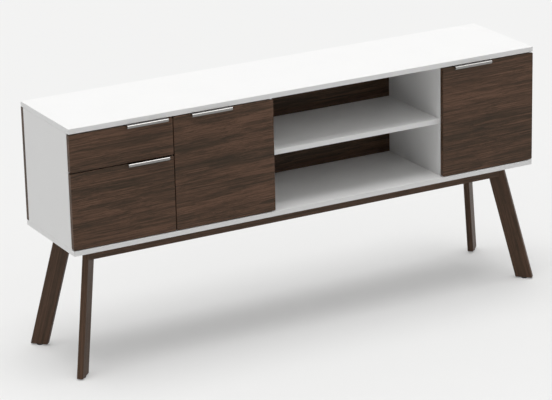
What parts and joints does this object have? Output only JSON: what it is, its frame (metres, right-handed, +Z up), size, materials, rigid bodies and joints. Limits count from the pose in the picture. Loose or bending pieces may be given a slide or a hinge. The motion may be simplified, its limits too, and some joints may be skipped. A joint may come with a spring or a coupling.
{
  "type": "office credenza",
  "caption": "Long low office credenza on splayed flat legs, with drawers, hinged cupboards, an open shelved bay and slim edge pulls.",
  "frame": {"origin": "on the floor under the middle of the whole part, pulls and feet included", "axes": "+X along the length towards the right-hand cupboard, +Y from the fronts to the back, +Z up"},
  "size_m": [1.8222, 0.404, 0.87],
  "materials": {
    "white_board": "white melamine-faced board, satin",
    "walnut_board": "dark walnut-faced board with long grain, satin",
    "walnut_solid": "dark walnut with grain along each piece, satin",
    "drawer_board": "pale grey-white faced board, matt",
    "pull_aluminium": "brushed and anodised, satin grey",
    "fitting_steel": "bright zinc plate",
    "black_plastic": "moulded, matt"
  },
  "bodies": {
    "carcass": {"top_board": "white_board", "bottom_board": "white_board", "left_side": "white_board", "right_side": "white_board", "drawer_divider": "white_board", "bay_divider_left": "white_board", "bay_divider_right": "white_board", "back_panel": "walnut_board", "bay_shelf": "white_board", "left_cupboard_shelf": "white_board", "right_cupboard_shelf": "white_board", "left_door_upper_pin": "fitting_steel", "left_door_lower_pin": "fitting_steel", "left_door_catch": "black_plastic", "right_door_upper_pin": "fitting_steel", "right_door_lower_pin": "fitting_steel", "right_door_catch": "black_plastic", "upper_left_runner_outer": "fitting_steel", "upper_right_runner_outer": "fitting_steel", "lower_left_runner_outer": "fitting_steel", "lower_right_runner_outer": "fitting_steel", "front_left_leg": "walnut_solid", "front_right_leg": "walnut_solid", "rear_left_leg": "walnut_solid", "rear_right_leg": "walnut_solid", "front_left_glide": "black_plastic", "front_right_glide": "black_plastic", "rear_left_glide": "black_plastic", "rear_right_glide": "black_plastic", "front_rail": "walnut_solid", "rear_rail": "walnut_solid", "left_rail": "walnut_solid", "right_rail": "walnut_solid"},
    "left_door": {"left_door": "walnut_board", "left_door_pull": "pull_aluminium", "left_door_strike": "fitting_steel"},
    "right_door": {"right_door": "walnut_board", "right_door_pull": "pull_aluminium", "right_door_strike": "fitting_steel"},
    "upper_drawer": {"upper_drawer_front": "walnut_board", "upper_drawer_pull": "pull_aluminium", "upper_drawer_left_side": "drawer_board", "upper_drawer_right_side": "drawer_board", "upper_drawer_bottom": "drawer_board", "upper_drawer_back": "drawer_board", "upper_left_runner_inner": "fitting_steel", "upper_right_runner_inner": "fitting_steel"},
    "lower_drawer": {"lower_drawer_front": "walnut_board", "lower_drawer_pull": "pull_aluminium", "lower_drawer_left_side": "drawer_board", "lower_drawer_right_side": "drawer_board", "lower_drawer_bottom": "drawer_board", "lower_drawer_back": "drawer_board", "lower_left_runner_inner": "fitting_steel", "lower_right_runner_inner": "fitting_steel"},
    "upper_runner_middles": {"upper_left_runner_middle": "fitting_steel", "upper_right_runner_middle": "fitting_steel"},
    "lower_runner_middles": {"lower_left_runner_middle": "fitting_steel", "lower_right_runner_middle": "fitting_steel"}
  },
  "joints": [
    {"name": "left_door_hinge", "type": "hinge", "parent": "carcass", "child": "left_door", "pos_m": [-0.155, -0.18204, 0.652], "axis": [0, 0, 1], "range_deg": [0, 110]},
    {"name": "right_door_hinge", "type": "hinge", "parent": "carcass", "child": "right_door", "pos_m": [0.892, -0.18204, 0.652], "axis": [0, 0, 1], "range_deg": [0, 110]},
    {"name": "upper_drawer_slide", "type": "slide", "parent": "carcass", "child": "upper_drawer", "axis": [0, -1, 0], "range_m": [0, 0.28]},
    {"name": "lower_drawer_slide", "type": "slide", "parent": "carcass", "child": "lower_drawer", "axis": [0, -1, 0], "range_m": [0, 0.28]},
    {"name": "upper_runner_slide", "type": "slide", "parent": "carcass", "child": "upper_runner_middles", "axis": [0, -1, 0], "range_m": [0, 0.14]},
    {"name": "lower_runner_slide", "type": "slide", "parent": "carcass", "child": "lower_runner_middles", "axis": [0, -1, 0], "range_m": [0, 0.14]}
  ],
  "couplings": [
    {"joint": "upper_runner_slide", "follows": "upper_drawer_slide", "ratio": 0.5},
    {"joint": "lower_runner_slide", "follows": "lower_drawer_slide", "ratio": 0.5}
  ]
}
